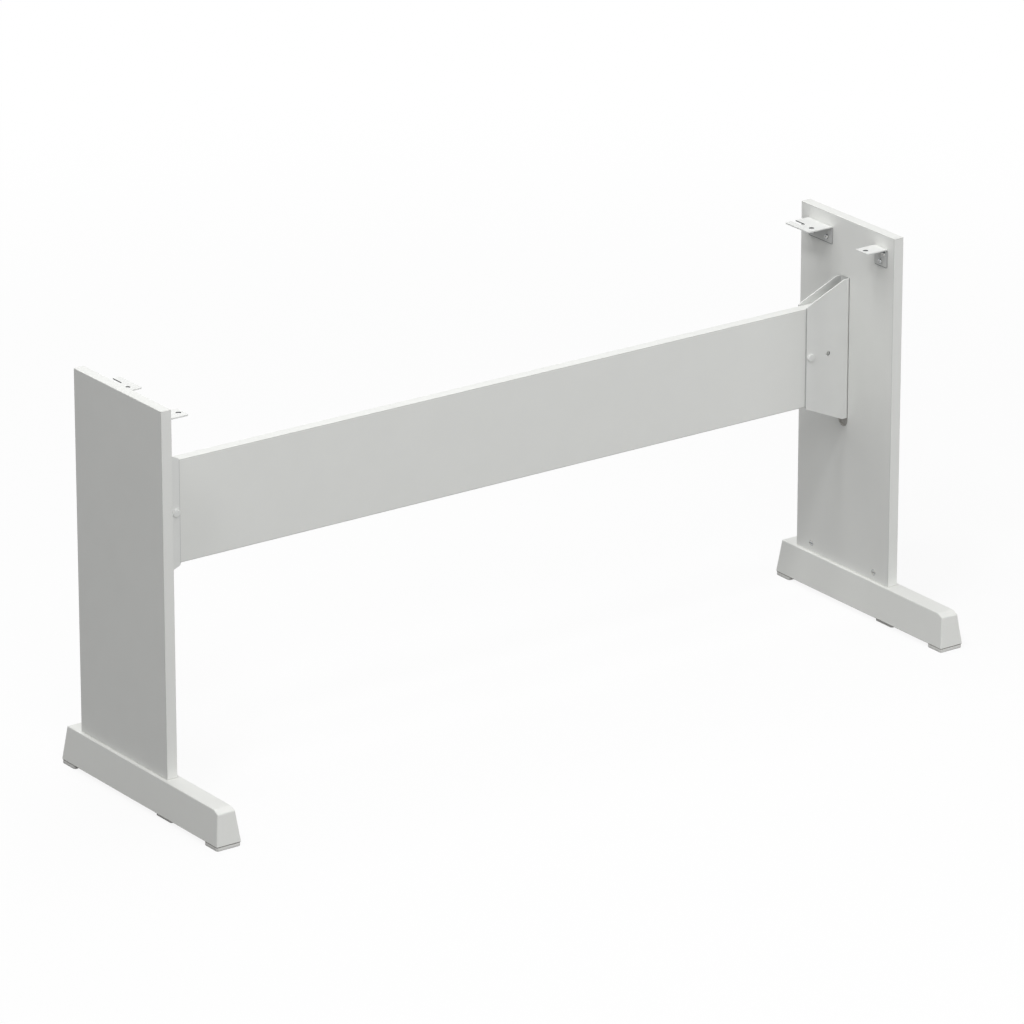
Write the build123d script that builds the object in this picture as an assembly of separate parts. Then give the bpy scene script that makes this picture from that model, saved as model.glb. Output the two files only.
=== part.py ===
from build123d import *
import os

# A knock-down stand for a slim digital piano: two side panels on tapered feet, joined by one
# crosspiece whose ends sit in flared steel gussets, with four steel angles to carry the instrument.
# Millimetres. X runs along the width, Y to the rear and Z up from the floor.
# Each piece is modelled for the right-hand side (+X); the left-hand one is its mirror image.

# Side panels
inner_width = 1328.0        # clear width between the two panels
panel_thickness = 18.0
panel_depth = 234.0
panel_height = 574.0
board_edge_break = 0.8      # small bevel on every edge of a laminated board

# Feet
foot_height = 54.0
foot_width = 43.0           # at the underside
foot_front_reach = 149.0    # ahead of the panel's front edge
foot_rear_reach = 37.0      # behind the panel's rear edge
foot_draft = 7.0            # lean of all four sides, in degrees
foot_round = 1.8            # radius on the upright and the top edges
foot_roll_length = 11.0     # sloping end of the top, at the front
foot_roll_drop = 4.5
foot_roll_start = 12.0      # radius where the slope begins
foot_roll_end = 3.0         # radius where it meets the front
foot_edge_break = 0.9       # bevel round the underside

# Pads under the feet
pad_thickness = 6.0
end_pad_length = 34.0
end_pad_inset = 0.4         # from the sides and the end of the foot's underside
middle_pad_length = 41.5
middle_pad_inset = 4.5      # from the sides
middle_pad_setback = 128.5  # from the foot's front end
pad_corner = 4.0            # radius on the upright corners
pad_edge_break = 0.8

# Crosspiece
rail_thickness = 18.0
rail_height = 162.0
rail_lift = 284.0           # from the top of the feet to its lower edge
rail_setback = 112.0        # from the panels' front edge to its front face
rail_end_gap = 1.0          # between its ends and the panels' inner faces
rail_fit = 0.25             # between its faces and a gusset's walls

# Gussets
sheet = 2.0                 # steel thickness of gussets and brackets
bend_radius = 1.0           # inside of a bracket's fold
gusset_reach = 83.0         # from the panel's inner face to the free edge
gusset_end_rise = 2.3       # how far the free edge stands past the crosspiece's edges
gusset_panel_rise = 34.0    # the same beside the panel
gusset_land = 10.0          # level run beside the panel, before the slope
gusset_knee = 12.0          # radius where the slope begins
gusset_corner = 4.0         # radius on the free corners
gusset_bend = 3.5           # inside of a gusset's folds
spare_hole_setback = 40.0   # in the front wall, from the panel's inner face
spare_hole_radius = 3.6
pilot_bore_radius = 3.0     # in the crosspiece, behind the spare hole
pilot_bore_depth = 3.0

# Groove in the panel that takes a gusset's web
groove_depth = 3.0
groove_clearance = 0.5
groove_run = 16.5           # how far its round end reaches below the gusset

# Bolts through gusset and crosspiece
bolt_radius = 3.0
bolt_hole_clearance = 0.2
rail_bolt_inset = 7.6       # from the gusset's free edge
rail_bolt_head_radius = 6.3
rail_bolt_head_height = 4.0
rail_bolt_head_round = 1.8
rail_bolt_end = 1.5         # threads left standing past the nut
nut_flats = 10.0
nut_height = 5.0
nut_flange_radius = 6.8
nut_flange_height = 1.2

# Angles that carry the instrument
bracket_drop = 20.5         # from the panel's top to the top of a flange
bracket_corner = 2.5
bracket_hole_radius = 4.25
bracket_hole_setback = 32.0     # from the panel's inner face
front_flange = 40.0
front_leg = 31.0
front_bracket_length = 30.0
front_bracket_inset = 16.0      # from the panel's front edge
rear_flange = 48.5
rear_leg = 29.0
rear_bracket_length = 59.5
rear_bracket_inset = 21.5       # from the panel's rear edge
rear_hole_inset = 13.5          # from the bracket's front edge
rear_slot_length = 26.5
rear_slot_width = 8.5

# Screws into the panels
screw_radius = 2.0
screw_head_radius = 4.0
screw_head_height = 2.6
screw_head_bevel = 1.2
screw_tip = 4.0             # length of the cone
screw_tip_radius = 0.8
screw_skin = 4.0            # board left between a screw's tip and the panel's outer face
screw_clearance = 0.15
gusset_screw_rise = 17.0    # from the crosspiece's edge to the screw in the web
rear_screw_edge = 13.0      # from the rear bracket's ends
rear_screw_drop = 19.0      # from the flange's top
front_screw_edge = 7.0      # upper screw of the front bracket, from its front edge
front_screw_drop = 10.0
front_screw_step = 9.0      # lower screw of the front bracket, further to the rear
front_screw_fall = 13.0     # and further down

# Joint between a foot and its panel
foot_bolt_inset = 37.5      # from the panel's front and rear edges
foot_bolt_head_radius = 5.0
foot_bolt_head_height = 6.0
foot_bolt_key = 5.0         # across the flats of the hexagon socket
foot_bolt_key_depth = 3.0
foot_bolt_end = 4.0         # past the barrel nut
foot_bore_end = 2.0         # bore left free above the bolt
counterbore_depth = 16.0
counterbore_clearance = 2.0
barrel_nut_radius = 5.0
barrel_nut_rise = 13.5      # its axis above the panel's bottom edge
barrel_nut_skin = 4.0       # board left behind it
barrel_nut_clearance = 0.15
barrel_slot_width = 1.4
barrel_slot_depth = 1.5
dowel_radius = 4.0
dowel_half_length = 20.0
dowel_setback = 40.0        # from the bolts, towards the middle
dowel_clearance = 0.15
dowel_end_gap = 0.5
dowel_edge_break = 1.0

# Places that several pieces share
inner_x = inner_width / 2
outer_x = inner_x + panel_thickness
middle_x = inner_x + panel_thickness / 2
foot_length = foot_front_reach + panel_depth + foot_rear_reach
front_y = foot_front_reach - foot_length / 2
rear_y = front_y + panel_depth
foot_top = pad_thickness + foot_height
panel_top = foot_top + panel_height
rail_front = front_y + rail_setback
rail_rear = rail_front + rail_thickness
rail_low = foot_top + rail_lift
rail_high = rail_low + rail_height
rail_middle = (rail_low + rail_high) / 2
gusset_front = rail_front - rail_fit - sheet
gusset_rear = rail_rear + rail_fit + sheet
gusset_middle_y = (gusset_front + gusset_rear) / 2
gusset_low = rail_low - gusset_panel_rise
gusset_high = rail_high + gusset_panel_rise
gusset_free_x = inner_x - gusset_reach
gusset_back_x = inner_x + groove_depth
web_face_x = gusset_back_x - sheet
rail_bolt_x = gusset_free_x + rail_bolt_inset
spare_hole_x = inner_x - spare_hole_setback
bracket_top = panel_top - bracket_drop
bracket_hole_x = inner_x - bracket_hole_setback
leg_face_x = inner_x - sheet
bolt_hole_radius = bolt_radius + bolt_hole_clearance
screw_hole_radius = screw_radius + screw_clearance
front_bracket_y = front_y + front_bracket_inset
rear_bracket_y = rear_y - rear_bracket_inset - rear_bracket_length
foot_bolt_places = (front_y + foot_bolt_inset, rear_y - foot_bolt_inset)
dowel_places = (foot_bolt_places[0] + dowel_setback, foot_bolt_places[1] - dowel_setback)
gusset_screw_places = (rail_low - gusset_screw_rise, rail_high + gusset_screw_rise)
rear_screw_z = bracket_top - rear_screw_drop
rear_screw_places = (
    (rear_bracket_y + rear_screw_edge, rear_screw_z),
    (rear_bracket_y + rear_bracket_length - rear_screw_edge, rear_screw_z),
)
front_screw_y = front_bracket_y + front_screw_edge
front_screw_z = bracket_top - front_screw_drop
front_screw_places = (
    (front_screw_y, front_screw_z),
    (front_screw_y + front_screw_step, front_screw_z - front_screw_fall),
)
counterbore_top = pad_thickness + counterbore_depth
barrel_nut_z = foot_top + barrel_nut_rise
foot_bolt_top = barrel_nut_z + barrel_nut_radius + foot_bolt_end

ON_BASE = (Align.CENTER, Align.CENTER, Align.MIN)
FROM_CORNER = (Align.MIN, Align.MIN, Align.MIN)
FROM_EDGE = (Align.MIN, Align.CENTER)
INWARD = (-1, 0, 0)
OUTWARD = (1, 0, 0)
FRONTWARD = (0, -1, 0)
REARWARD = (0, 1, 0)
UP = (0, 0, 1)
DOWN = (0, 0, -1)


def block(low, high):
    """Box between its lowest and highest corners."""
    size = [b - a for a, b in zip(low, high)]
    return Pos(*low) * Box(*size, align=FROM_CORNER)


def rod(radius, start, direction, length):
    """Round bar that begins at a point and runs in one direction."""
    return Plane(origin=start, z_dir=direction) * Cylinder(radius, length, align=ON_BASE)


def hexagon(across_flats, height):
    """Six-sided prism that stands on its base."""
    return extrude(RegularPolygon(across_flats / 2, 6, major_radius=False), height)


def board(low, high):
    """Laminated board with every edge lightly bevelled."""
    blank = block(low, high)
    return chamfer(blank.edges(), board_edge_break)


def panel_groove():
    """Router groove for a gusset's web, with a round lower end."""
    half_width = (gusset_rear - gusset_front) / 2 + groove_clearance
    round_z = gusset_low - groove_run + half_width
    low = (inner_x, gusset_middle_y - half_width, round_z)
    high = (gusset_back_x, gusset_middle_y + half_width, gusset_high + groove_clearance)
    return block(low, high) + rod(half_width, (inner_x, gusset_middle_y, round_z), OUTWARD, groove_depth)


def screw_length(start_x):
    """Length under the head of a screw whose head bears on a face at start_x."""
    return outer_x - screw_skin - start_x


def side_panel():
    """Side panel with its groove and the bores for all that is fastened to it."""
    panel = board((inner_x, front_y, foot_top), (outer_x, rear_y, panel_top))
    panel -= panel_groove()
    for z in gusset_screw_places:
        panel -= rod(screw_hole_radius, (web_face_x, gusset_middle_y, z), OUTWARD, screw_length(web_face_x))
    for y, z in front_screw_places + rear_screw_places:
        panel -= rod(screw_hole_radius, (leg_face_x, y, z), OUTWARD, screw_length(leg_face_x))
    for y in foot_bolt_places:
        panel -= rod(bolt_hole_radius, (middle_x, y, foot_top), UP, foot_bolt_top + foot_bore_end - foot_top)
        bore = barrel_nut_radius + barrel_nut_clearance
        panel -= rod(bore, (inner_x, y, barrel_nut_z), OUTWARD, panel_thickness - barrel_nut_skin)
    for y in dowel_places:
        bore = dowel_radius + dowel_clearance
        panel -= rod(bore, (middle_x, y, foot_top), UP, dowel_half_length + dowel_end_gap)
    return panel


def crosspiece():
    """Board between the panels, bored at both ends for the bolts and behind the spare holes."""
    end_x = inner_x - rail_end_gap
    rail = board((-end_x, rail_front, rail_low), (end_x, rail_rear, rail_high))
    for bolt_x in (-rail_bolt_x, rail_bolt_x):
        rail -= rod(bolt_hole_radius, (bolt_x, rail_front, rail_middle), REARWARD, rail_thickness)
    for pilot_x in (-spare_hole_x, spare_hole_x):
        rail -= rod(pilot_bore_radius, (pilot_x, rail_front, rail_middle), REARWARD, pilot_bore_depth)
    return rail


def gusset_plan():
    """Plan of the folded channel: two walls and the web between them."""
    outer_length = gusset_back_x - gusset_free_x
    depth = gusset_rear - gusset_front
    free_edge = Pos(gusset_free_x, gusset_middle_y)
    outer = free_edge * Rectangle(outer_length, depth, align=FROM_EDGE)
    outer = fillet(outer.vertices().group_by(Axis.X)[-1], gusset_bend + sheet)
    hollow = free_edge * Rectangle(outer_length - sheet, depth - 2 * sheet, align=FROM_EDGE)
    hollow = fillet(hollow.vertices().group_by(Axis.X)[-1], gusset_bend)
    return outer - hollow


def gusset_outline():
    """Side view of the channel: level beside the panel, then sloping to the free edge."""
    end_half = rail_height / 2 + gusset_end_rise
    panel_half = rail_height / 2 + gusset_panel_rise
    knee_x = inner_x - gusset_land
    upper = [(gusset_free_x, end_half), (knee_x, panel_half), (gusset_back_x, panel_half)]
    lower = [(x, -z) for x, z in reversed(upper)]
    outline = make_face(Polyline(*upper, *lower, close=True).edges())
    outline = fillet(outline.vertices().group_by(Axis.X)[1], gusset_knee)
    return fillet(outline.vertices().group_by(Axis.X)[0], gusset_corner)


def gusset():
    """Folded steel channel that flares from the crosspiece to the side panel."""
    channel = Pos(0, 0, gusset_low) * extrude(gusset_plan(), gusset_high - gusset_low)
    side_view = Plane(origin=(0, gusset_rear, rail_middle), x_dir=OUTWARD, z_dir=FRONTWARD) * gusset_outline()
    channel &= extrude(side_view, gusset_rear - gusset_front)
    bolt_start = (rail_bolt_x, gusset_front, rail_middle)
    hole_start = (spare_hole_x, gusset_front, rail_middle)
    channel -= rod(bolt_hole_radius, bolt_start, REARWARD, gusset_rear - gusset_front)
    channel -= rod(spare_hole_radius, hole_start, REARWARD, sheet)
    for z in gusset_screw_places:
        channel -= rod(screw_hole_radius, (web_face_x, gusset_middle_y, z), OUTWARD, sheet)
    return channel


def foot_blank():
    """Tapered bar whose top slopes down at the front, before its edges are rounded."""
    base = Pos(middle_x, 0, pad_thickness) * Rectangle(foot_width, foot_length)
    bar = extrude(base, foot_height, taper=foot_draft)
    top_front = bar.faces().sort_by(Axis.Z)[-1].bounding_box().min.Y
    start = top_front + foot_roll_length
    end = start - 2 * foot_roll_length
    slope = Polyline((start, foot_top), (end, foot_top), (end, foot_top - 2 * foot_roll_drop), close=True)
    side_view = Plane(origin=(middle_x - foot_width / 2, 0, 0), x_dir=REARWARD, z_dir=OUTWARD)
    bar -= extrude(side_view * make_face(slope.edges()), foot_width)
    crease = bar.edges().filter_by(Axis.X).group_by(Axis.Z)[-1].sort_by(Axis.Y)[0]
    bar = fillet(crease, foot_roll_start)
    nose = bar.edges().filter_by(Axis.X).group_by(Axis.Z)[1]
    return fillet(nose, foot_roll_end)


def foot():
    """Tapered bar, rounded above, bored from below for its bolts and dowels."""
    bar = foot_blank()
    underside = bar.edges().group_by(Axis.Z)[0]
    across = bar.edges().filter_by(Axis.X)
    rear_top = across.group_by(Axis.Z)[-1].sort_by(Axis.Y)[-1:]
    bar = fillet((bar.edges() - underside - across) + rear_top, foot_round)
    bar = chamfer(bar.edges().group_by(Axis.Z)[0], foot_edge_break)
    for y in foot_bolt_places:
        wide = foot_bolt_head_radius + counterbore_clearance
        bar -= rod(wide, (middle_x, y, pad_thickness), UP, counterbore_depth)
        bar -= rod(bolt_hole_radius, (middle_x, y, counterbore_top), UP, foot_top - counterbore_top)
    for y in dowel_places:
        bore = dowel_radius + dowel_clearance
        bar -= rod(bore, (middle_x, y, foot_top), DOWN, dowel_half_length + dowel_end_gap)
    return bar


def foot_pad(start_y, length, inset):
    """Pad across the foot's underside, with rounded corners and bevelled rims."""
    half_width = foot_width / 2 - inset
    pad = block(
        (middle_x - half_width, start_y, 0),
        (middle_x + half_width, start_y + length, pad_thickness),
    )
    pad = fillet(pad.edges().filter_by(Axis.Z), pad_corner)
    rims = pad.edges().group_by(Axis.Z)
    return chamfer(rims[0] + rims[-1], pad_edge_break)


def angle_bracket(flange, leg, start_y, length):
    """Folded steel angle: a flange to rest on and a leg against the panel."""
    tip_x = inner_x - flange
    under = bracket_top - sheet
    foot_z = bracket_top - leg
    points = [
        (inner_x, bracket_top),
        (tip_x, bracket_top),
        (tip_x, under),
        (leg_face_x, under),
        (leg_face_x, foot_z),
        (inner_x, foot_z),
    ]
    section = make_face(Polyline(*points, close=True).edges())
    outer_fold = section.vertices().sort_by_distance((inner_x, bracket_top))[0]
    section = fillet(outer_fold, bend_radius + sheet)
    inner_fold = section.vertices().sort_by_distance((leg_face_x, under))[0]
    section = fillet(inner_fold, bend_radius)
    angle = Plane(origin=(0, start_y + length, 0), x_dir=OUTWARD, z_dir=FRONTWARD) * section
    angle = extrude(angle, length)
    tip_corners = angle.edges().filter_by(Axis.Z).group_by(Axis.X)[0]
    leg_corners = angle.edges().filter_by(Axis.X).group_by(Axis.Z)[0]
    return fillet(tip_corners + leg_corners, bracket_corner)


def drill_leg(bracket, places):
    """Screw holes through a bracket's leg."""
    for y, z in places:
        bracket -= rod(screw_hole_radius, (leg_face_x, y, z), OUTWARD, sheet)
    return bracket


def front_bracket():
    """Short angle with one hole for a fixing screw."""
    bracket = angle_bracket(front_flange, front_leg, front_bracket_y, front_bracket_length)
    middle = front_bracket_y + front_bracket_length / 2
    bracket -= rod(bracket_hole_radius, (bracket_hole_x, middle, bracket_top), DOWN, sheet)
    return drill_leg(bracket, front_screw_places)


def rear_bracket():
    """Long angle with one hole and a slot that opens to the rear."""
    bracket = angle_bracket(rear_flange, rear_leg, rear_bracket_y, rear_bracket_length)
    hole = (bracket_hole_x, rear_bracket_y + rear_hole_inset, bracket_top)
    bracket -= rod(bracket_hole_radius, hole, DOWN, sheet)
    mouth_y = rear_bracket_y + rear_bracket_length
    half_width = rear_slot_width / 2
    end_y = mouth_y - rear_slot_length + half_width
    bracket -= rod(half_width, (bracket_hole_x, end_y, bracket_top), DOWN, sheet)
    bracket -= block(
        (bracket_hole_x - half_width, end_y, bracket_top - sheet),
        (bracket_hole_x + half_width, mouth_y, bracket_top),
    )
    return drill_leg(bracket, rear_screw_places)


def wood_screw(length):
    """Pan-head screw, head above its bearing face and tip below."""
    half_section = Polyline(
        (0, screw_head_height),
        (screw_head_radius - screw_head_bevel, screw_head_height),
        (screw_head_radius, screw_head_height - screw_head_bevel),
        (screw_head_radius, 0),
        (screw_radius, 0),
        (screw_radius, screw_tip - length),
        (screw_tip_radius, -length),
        (0, -length),
        close=True,
    )
    return revolve(Plane.XZ * make_face(half_section.edges()), Axis.Z)


def panel_screws(face_x, places):
    """Screws driven outward into the panel from a steel face."""
    screw = wood_screw(screw_length(face_x))
    return [Plane(origin=(face_x, y, z), z_dir=INWARD) * screw for y, z in places]


def rail_bolt():
    """Bolt with a plain rounded head, through the gusset's walls and the crosspiece."""
    head = Cylinder(rail_bolt_head_radius, rail_bolt_head_height, align=ON_BASE)
    head = fillet(head.edges().group_by(Axis.Z)[-1], rail_bolt_head_round)
    length = gusset_rear - gusset_front + nut_height + rail_bolt_end
    bolt = head + rod(bolt_radius, (0, 0, 0), DOWN, length)
    return Plane(origin=(rail_bolt_x, gusset_front, rail_middle), z_dir=FRONTWARD) * bolt


def rail_nut():
    """Flanged hexagon nut on the gusset's rear wall."""
    nut = hexagon(nut_flats, nut_height) + Cylinder(nut_flange_radius, nut_flange_height, align=ON_BASE)
    nut -= Cylinder(bolt_hole_radius, nut_height, align=ON_BASE)
    return Plane(origin=(rail_bolt_x, gusset_rear, rail_middle), z_dir=REARWARD) * nut


def foot_bolts():
    """Socket-head bolts from the foot's counterbores up through the barrel nuts."""
    head = Cylinder(foot_bolt_head_radius, foot_bolt_head_height, align=ON_BASE)
    socket_floor = foot_bolt_head_height - foot_bolt_key_depth
    head -= Pos(0, 0, socket_floor) * hexagon(foot_bolt_key, foot_bolt_key_depth)
    bolt = head + rod(bolt_radius, (0, 0, 0), DOWN, foot_bolt_top - counterbore_top)
    return [Plane(origin=(middle_x, y, counterbore_top), z_dir=DOWN) * bolt for y in foot_bolt_places]


def barrel_nuts():
    """Cross dowels in the panel, bored for the foot bolts, slotted on the face that shows."""
    length = panel_thickness - barrel_nut_skin
    nuts = []
    for y in foot_bolt_places:
        nut = rod(barrel_nut_radius, (inner_x, y, barrel_nut_z), OUTWARD, length)
        low = barrel_nut_z - barrel_nut_radius
        nut -= rod(bolt_hole_radius, (middle_x, y, low), UP, 2 * barrel_nut_radius)
        nut -= block(
            (inner_x, y - barrel_nut_radius, barrel_nut_z - barrel_slot_width / 2),
            (inner_x + barrel_slot_depth, y + barrel_nut_radius, barrel_nut_z + barrel_slot_width / 2),
        )
        nuts.append(nut)
    return nuts


def dowels():
    """Wooden pegs between the foot and the panel."""
    pegs = []
    for y in dowel_places:
        peg = rod(dowel_radius, (middle_x, y, foot_top - dowel_half_length), UP, 2 * dowel_half_length)
        pegs.append(chamfer(peg.edges().filter_by(GeomType.CIRCLE), dowel_edge_break))
    return pegs


def right_hand_pieces():
    """Every piece that comes in a right-hand and a left-hand version."""
    pad_end = foot_length / 2 - end_pad_inset
    middle_pad_y = middle_pad_setback - foot_length / 2
    gusset_places = [(gusset_middle_y, z) for z in gusset_screw_places]
    return {
        "side_panel": side_panel(),
        "foot": foot(),
        "front_pad": foot_pad(-pad_end, end_pad_length, end_pad_inset),
        "middle_pad": foot_pad(middle_pad_y, middle_pad_length, middle_pad_inset),
        "rear_pad": foot_pad(pad_end - end_pad_length, end_pad_length, end_pad_inset),
        "gusset": gusset(),
        "front_bracket": front_bracket(),
        "rear_bracket": rear_bracket(),
        "crosspiece_bolt": rail_bolt(),
        "crosspiece_nut": rail_nut(),
        "gusset_screws": Compound(panel_screws(web_face_x, gusset_places)),
        "front_bracket_screws": Compound(panel_screws(leg_face_x, front_screw_places)),
        "rear_bracket_screws": Compound(panel_screws(leg_face_x, rear_screw_places)),
        "foot_bolts": Compound(foot_bolts()),
        "barrel_nuts": Compound(barrel_nuts()),
        "dowels": Compound(dowels()),
    }


os.makedirs("parts", exist_ok=True)
export_step(crosspiece(), "parts/crosspiece.step")
for name, piece in right_hand_pieces().items():
    export_step(piece, f"parts/right_{name}.step")
    export_step(mirror(piece, about=Plane.YZ), f"parts/left_{name}.step")
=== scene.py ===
# %% [markdown]
# # A knock-down stand for a slim digital piano
# The stand is white flat-pack furniture: two laminated side panels on tapered feet, one crosspiece whose
# ends sit in flared steel gussets, and four steel angles that carry the instrument.
# The boards, feet and folded steel already have their final shapes in the CAD frame, so here they only get
# their finishes. The screws, bolts, nuts, dowels and pads are modelled again with Blender's own tools,
# because recesses, thread ridges and moulded ribs are quicker to shape by hand than to draw in CAD.

# %% Load the frame
import math

import bmesh
import bpy
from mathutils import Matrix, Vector


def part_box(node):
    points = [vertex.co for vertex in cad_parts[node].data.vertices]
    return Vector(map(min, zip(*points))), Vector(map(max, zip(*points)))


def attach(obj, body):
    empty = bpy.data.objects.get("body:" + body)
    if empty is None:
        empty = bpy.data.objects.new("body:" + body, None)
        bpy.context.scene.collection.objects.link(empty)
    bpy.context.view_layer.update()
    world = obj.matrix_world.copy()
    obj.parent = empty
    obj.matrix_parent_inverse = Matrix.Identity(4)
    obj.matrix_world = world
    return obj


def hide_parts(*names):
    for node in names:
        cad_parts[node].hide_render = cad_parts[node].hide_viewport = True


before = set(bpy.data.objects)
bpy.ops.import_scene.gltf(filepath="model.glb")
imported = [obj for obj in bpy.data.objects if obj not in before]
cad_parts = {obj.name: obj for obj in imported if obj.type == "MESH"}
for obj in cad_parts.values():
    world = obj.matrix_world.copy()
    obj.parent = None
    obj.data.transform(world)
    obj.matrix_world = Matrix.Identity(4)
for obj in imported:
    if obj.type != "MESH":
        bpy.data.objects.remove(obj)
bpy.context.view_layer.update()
mm = 0.001
print("nodes in the frame:", len(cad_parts))

# %% [markdown]
# ## Camera
# The stand is seen from its front left corner and a little from above. Its long edges hardly converge, so
# the camera stands eleven metres away with a long lens. The place and the lens were worked out from the
# straight edges of the boards.

# %% Camera
camera_place = Vector((-6.15971, -8.5702, 4.27169))
camera_aim = Vector((-0.01163, 0.00655, 0.31312))
camera_turn = (camera_aim - camera_place).to_track_quat("-Z", "Y").to_euler()
bpy.ops.object.select_all(action="DESELECT")
bpy.ops.object.camera_add(location=camera_place, rotation=camera_turn)
camera = bpy.context.object
camera.name = "camera"
camera.data.sensor_width = 36
camera.data.lens = 262.2865
camera.data.clip_end = 200
bpy.context.scene.camera = camera
print("camera", round((camera_aim - camera_place).length, 2), "m away")

# %% [markdown]
# ## Colours and nodes
# Paint charts give colours as sRGB hex values, and Blender mixes light in linear values, so one function
# turns the first into the second. A second small function adds any node: its options, and for each input
# either a plain value or the output of another node. Some colours change at certain places of a piece, such
# as a hairline near an edge, or painted shade at a cut edge or in a groove. A place is marked by bands
# along one, two or three axes, and two more functions turn such marks into a mask. The sign of X is
# dropped, because left pieces mirror right ones.

# %% Colours and nodes
def linear(hex_colour):
    """An sRGB hex colour as linear red, green, blue and alpha."""
    shares = [int(hex_colour[i:i + 2], 16) / 255 for i in (1, 3, 5)]
    curve = [s / 12.92 if s <= 0.04045 else ((s + 0.055) / 1.055) ** 2.4 for s in shares]
    return (*curve, 1.0)


def add_node(tree, kind, options=None, inputs=None):
    """Adds a node with its options; each input takes a value or a link from another node's output."""
    node = tree.nodes.new(kind)
    for name, value in (options or {}).items():
        setattr(node, name, value)
    for name, value in (inputs or {}).items():
        if isinstance(value, bpy.types.NodeSocket):
            tree.links.new(value, node.inputs[name])
        else:
            node.inputs[name].default_value = value
    return node


def empty_tree(owner):
    """The node tree of a new material or world, cleared of its default nodes."""
    owner.use_nodes = True
    owner.node_tree.nodes.clear()
    return owner.node_tree


def mirrored_axes(tree, place):
    """The three Object coordinates by name, with the distance from the middle for X."""
    axes = add_node(tree, "ShaderNodeSeparateXYZ", {}, {0: place}).outputs
    width = add_node(tree, "ShaderNodeMath", {"operation": "ABSOLUTE"}, {0: axes["X"]})
    return {"X": width.outputs[0], "Y": axes["Y"], "Z": axes["Z"]}


def near(tree, value, at, reach, fade):
    """An output that is 1 within reach of a place along one axis and fades to 0 beyond it."""
    offset = add_node(tree, "ShaderNodeMath", {"operation": "SUBTRACT"}, {0: value, 1: at})
    distance = add_node(tree, "ShaderNodeMath", {"operation": "ABSOLUTE"}, {0: offset.outputs[0]})
    share = add_node(tree, "ShaderNodeMapRange", {"interpolation_type": "SMOOTHSTEP"}, {
        "Value": distance.outputs[0], "From Min": reach, "From Max": reach + fade,
        "To Min": 1.0, "To Max": 0.0})
    return share.outputs[0]


def mask(tree, axes, marks):
    """The strongest of several marks; each is a share and the bands (axis, at, reach, fade) it lies in."""
    total = 0.0
    for share, bands in marks:
        strength = share
        for axis, at, reach, fade in bands:
            strength = add_node(tree, "ShaderNodeMath", {"operation": "MULTIPLY"}, {
                0: strength, 1: near(tree, axes[axis], at, reach, fade)}).outputs[0]
        total = add_node(tree, "ShaderNodeMath", {"operation": "MAXIMUM"}, {
            0: total, 1: strength}).outputs[0]
    return total


print("plain white is", [round(c, 3) for c in linear("#FFFFFF")])

# %% [markdown]
# ## Floor and background
# A catalogue picture of white furniture is usually lit in a white room whose floor burns out to paper
# white. Burning it out with lamps would also burn out the stand. So the floor and the world show white
# only to the rays that the eye follows: straight from the camera, mirrored or through glass. The rays that
# carry light see a grey floor and a dim room. Around the stand the floor still keeps one part of its real
# shading, and with it the stand's soft shadow. Further out it fades to plain white, so no horizon shows.

# %% Floor and background
def seen_directly(tree):
    """An output that is 1 for camera, glossy and transmission rays and 0 for all others."""
    rays = add_node(tree, "ShaderNodeLightPath")
    glossy = add_node(tree, "ShaderNodeMath", {"operation": "MAXIMUM"}, {
        0: rays.outputs["Is Camera Ray"], 1: rays.outputs["Is Glossy Ray"]})
    through = add_node(tree, "ShaderNodeMath", {"operation": "MAXIMUM"}, {
        0: glossy.outputs[0], 1: rays.outputs["Is Transmission Ray"]})
    return through.outputs[0]


floor_size = 60.0
shadow_share = 0.11
shadow_near = 1.0
shadow_far = 3.2
room_light = 0.34

bpy.ops.object.select_all(action="DESELECT")
bpy.ops.mesh.primitive_plane_add(size=floor_size)
floor = bpy.context.object
floor.name = "floor"
floor_paint = bpy.data.materials.new("pale_floor_paint")
tree = empty_tree(floor_paint)
grey = add_node(tree, "ShaderNodeBsdfDiffuse", {}, {"Color": linear("#7C7C7C")})
pale = add_node(tree, "ShaderNodeBsdfDiffuse", {}, {"Color": linear("#F6F6F6")})
glow = add_node(tree, "ShaderNodeEmission", {}, {"Color": linear("#FFFFFF"), "Strength": 1.0})
place = add_node(tree, "ShaderNodeTexCoord").outputs["Object"]
away = add_node(tree, "ShaderNodeVectorMath", {"operation": "LENGTH"}, {0: place})
shadow = add_node(tree, "ShaderNodeMapRange", {"interpolation_type": "SMOOTHSTEP"}, {
    "Value": away.outputs["Value"], "From Min": shadow_near, "From Max": shadow_far,
    "To Min": shadow_share, "To Max": 0.0})
shaded = add_node(tree, "ShaderNodeMixShader", {}, {
    0: shadow.outputs[0], 1: glow.outputs[0], 2: pale.outputs[0]})
shown = add_node(tree, "ShaderNodeMixShader", {}, {
    0: seen_directly(tree), 1: grey.outputs[0], 2: shaded.outputs[0]})
add_node(tree, "ShaderNodeOutputMaterial", {}, {"Surface": shown.outputs[0]})
floor.data.materials.append(floor_paint)

world = bpy.data.worlds.new("white_room")
bpy.context.scene.world = world
tree = empty_tree(world)
dim = add_node(tree, "ShaderNodeBackground", {}, {"Color": linear("#FFFFFF"), "Strength": room_light})
white = add_node(tree, "ShaderNodeBackground", {}, {"Color": linear("#FFFFFF"), "Strength": 1.0})
room = add_node(tree, "ShaderNodeMixShader", {}, {
    0: seen_directly(tree), 1: dim.outputs[0], 2: white.outputs[0]})
add_node(tree, "ShaderNodeOutputWorld", {}, {"Surface": room.outputs[0]})
bpy.context.scene.view_settings.view_transform = "Standard"
print("floor", floor_size, "m wide, room light", room_light)

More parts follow.
